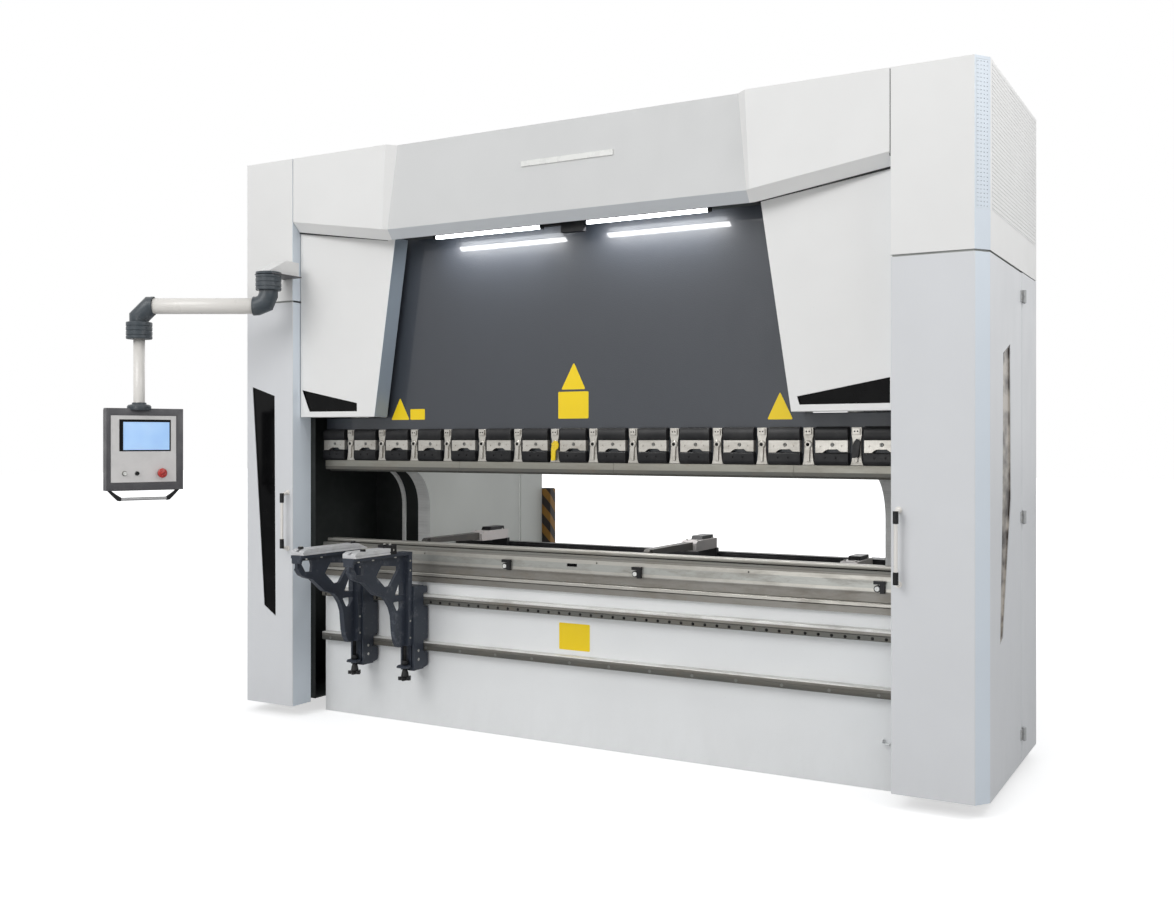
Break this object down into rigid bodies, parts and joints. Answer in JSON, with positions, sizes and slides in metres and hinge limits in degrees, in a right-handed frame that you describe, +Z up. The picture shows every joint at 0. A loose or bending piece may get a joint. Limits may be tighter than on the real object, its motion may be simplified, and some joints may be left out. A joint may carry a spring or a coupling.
{
  "type": "hydraulic press brake",
  "caption": "Hydraulic press brake with a dark ram and clamped punch over a long die, guarded side towers, back gauge, front sheet supports and a control panel on a swinging arm",
  "frame": {"origin": "centre of the rectangle of floor anchor holes, on the floor plane", "axes": "+X to the operator's right along the bed, +Y from the operator towards the back gauge, +Z up"},
  "size_m": [3.9831, 2.6433, 2.776],
  "materials": {
    "frame_paint": "light grey satin paint",
    "cover_paint": "off-white fine-texture powder coat",
    "door_paint": "light grey powder coat",
    "ram_paint": "dark grey satin paint",
    "arm_paint": "dark blue-grey paint",
    "pack_paint": "blue-grey machine paint",
    "base_paint": "dark grey paint",
    "black_paint": "black paint",
    "hazard_paint": "dull yellow and black paint",
    "table_steel": "ground steel",
    "tool_steel": "ground tool steel",
    "clamp_steel": "machined steel",
    "dark_steel": "dark machined steel",
    "chrome_rod": "hard chrome",
    "alloy": "anodised",
    "black_plastic": "moulded",
    "elbow_plastic": "moulded",
    "lamp_plastic": "frosted tube",
    "window_plastic": "dark panel",
    "label_vinyl": "yellow film",
    "tube_paint": "cream gloss paint",
    "panel_frame": "dark grey textured",
    "panel_face": "light grey film with a blue screen",
    "stop_red": "red moulded",
    "button_white": "white moulded",
    "lever_yellow": "yellow moulded"
  },
  "bodies": {
    "machine": {"side_frames": "frame_paint", "frame_base": "base_paint", "bed_plate": "door_paint", "bed_label": "label_vinyl", "die_holder": "table_steel", "bottom_die": "tool_steel", "die_clamps": "black_paint", "front_rails": "dark_steel", "hood": "cover_paint", "led_tubes": "lamp_plastic", "cylinder_covers": "cover_paint", "cover_insets": "window_plastic", "tower_caps": "cover_paint", "tower_backs": "door_paint", "door_hinges": "black_paint", "cylinders": "base_paint", "ram_guides": "dark_steel", "power_pack": "pack_paint", "hydraulic_pipes": "dark_steel", "electric_cabinet": "door_paint", "rear_guards": "frame_paint", "guard_posts": "hazard_paint", "gauge_rails": "dark_steel", "pendant_bracket": "frame_paint"},
    "ram": {"ram_plate": "ram_paint", "piston_rods": "chrome_rod", "clamp_blocks": "black_plastic", "clamp_plates": "clamp_steel", "clamp_posts": "clamp_steel", "punch": "tool_steel", "ram_labels": "label_vinyl"},
    "clamp_lever": {"clamp_lever": "lever_yellow"},
    "door_left": {"door_left": "door_paint", "door_left_window": "window_plastic", "door_left_handle": "black_plastic"},
    "door_right": {"door_right": "door_paint", "door_right_window": "window_plastic", "door_right_handle": "black_plastic"},
    "gauge_carriage": {"gauge_carriages": "base_paint"},
    "gauge_beam": {"gauge_beam": "alloy"},
    "gauge_finger_left": {"gauge_finger_left": "alloy"},
    "gauge_finger_mid": {"gauge_finger_mid": "alloy"},
    "gauge_finger_right": {"gauge_finger_right": "alloy"},
    "support_a": {"support_a_carriage": "arm_paint"},
    "support_a_arm": {"support_a_arm": "arm_paint", "support_a_bar": "alloy"},
    "support_a_knob": {"support_a_knob": "black_plastic"},
    "support_b": {"support_b_carriage": "arm_paint"},
    "support_b_arm": {"support_b_arm": "arm_paint", "support_b_bar": "alloy"},
    "support_b_knob": {"support_b_knob": "black_plastic"},
    "pendant_arm": {"pendant_elbows": "elbow_plastic", "pendant_tube": "tube_paint"},
    "pendant_panel": {"pendant_drop": "tube_paint", "pendant_box": "panel_frame", "pendant_face": "panel_face", "pendant_handle": "black_plastic"},
    "emergency_stop": {"pendant_stop": "stop_red"},
    "button_a": {"pendant_button_a": "button_white"},
    "button_b": {"pendant_button_b": "black_plastic"}
  },
  "joints": [
    {"name": "ram_stroke", "type": "slide", "parent": "machine", "child": "ram", "axis": [0, 0, -1], "range_m": [0, 0.265]},
    {"name": "lever_turn", "type": "hinge", "parent": "ram", "child": "clamp_lever", "pos_m": [-0.1, -0.8, 1.361], "axis": [0, 1, 0], "range_deg": [-12, 12]},
    {"name": "door_left_open", "type": "hinge", "parent": "machine", "child": "door_left", "pos_m": [-1.852, -0.296, 1.06], "axis": [0, 0, -1], "range_deg": [0, 100]},
    {"name": "door_right_open", "type": "hinge", "parent": "machine", "child": "door_right", "pos_m": [1.852, -0.296, 1.06], "axis": [0, 0, 1], "range_deg": [0, 100]},
    {"name": "gauge_depth", "type": "slide", "parent": "machine", "child": "gauge_carriage", "axis": [0, 1, 0], "range_m": [0, 0.35]},
    {"name": "gauge_height", "type": "slide", "parent": "gauge_carriage", "child": "gauge_beam", "axis": [0, 0, 1], "range_m": [-0.065, 0.04]},
    {"name": "finger_left_slide", "type": "slide", "parent": "gauge_beam", "child": "gauge_finger_left", "axis": [1, 0, 0], "range_m": [-0.256, 0.5]},
    {"name": "finger_mid_slide", "type": "slide", "parent": "gauge_beam", "child": "gauge_finger_mid", "axis": [1, 0, 0], "range_m": [-0.6, 0.35]},
    {"name": "finger_right_slide", "type": "slide", "parent": "gauge_beam", "child": "gauge_finger_right", "axis": [1, 0, 0], "range_m": [-0.2, 0.06]},
    {"name": "support_a_slide", "type": "slide", "parent": "machine", "child": "support_a", "axis": [1, 0, 0], "range_m": [-0.2, 0.1]},
    {"name": "support_a_height", "type": "slide", "parent": "support_a", "child": "support_a_arm", "axis": [0, 0, 1], "range_m": [-0.06, 0.025]},
    {"name": "support_a_screw", "type": "hinge", "parent": "support_a", "child": "support_a_knob", "pos_m": [-1.159, -0.924, 0.25], "axis": [0, 0, 1], "range_deg": [-5420, 2260]},
    {"name": "support_b_slide", "type": "slide", "parent": "machine", "child": "support_b", "axis": [1, 0, 0], "range_m": [-0.08, 1.9]},
    {"name": "support_b_height", "type": "slide", "parent": "support_b", "child": "support_b_arm", "axis": [0, 0, 1], "range_m": [-0.06, 0.025]},
    {"name": "support_b_screw", "type": "hinge", "parent": "support_b", "child": "support_b_knob", "pos_m": [-0.851, -0.924, 0.25], "axis": [0, 0, 1], "range_deg": [-5420, 2260]},
    {"name": "pendant_swing", "type": "hinge", "parent": "machine", "child": "pendant_arm", "pos_m": [-1.493, -1.165, 2.1], "axis": [0, 0, 1], "range_deg": [-14.5, 115]},
    {"name": "panel_turn", "type": "hinge", "parent": "pendant_arm", "child": "pendant_panel", "pos_m": [-2.03871, -1.47375, 1.9], "axis": [0, 0, 1], "range_deg": [-90, 90]},
    {"name": "stop_press", "type": "slide", "parent": "pendant_panel", "child": "emergency_stop", "axis": [-0.9272, 0.3746, 0], "range_m": [0, 0.007]},
    {"name": "button_a_press", "type": "slide", "parent": "pendant_panel", "child": "button_a", "axis": [-0.9272, 0.3746, 0], "range_m": [0, 0.004], "stiffness_N_per_m": 400},
    {"name": "button_b_press", "type": "slide", "parent": "pendant_panel", "child": "button_b", "axis": [-0.9272, 0.3746, 0], "range_m": [0, 0.004], "stiffness_N_per_m": 400}
  ],
  "couplings": [
    {"joint": "support_a_screw", "follows": "support_a_height", "rad_per_m": 1570.8},
    {"joint": "support_b_screw", "follows": "support_b_height", "rad_per_m": 1570.8}
  ]
}
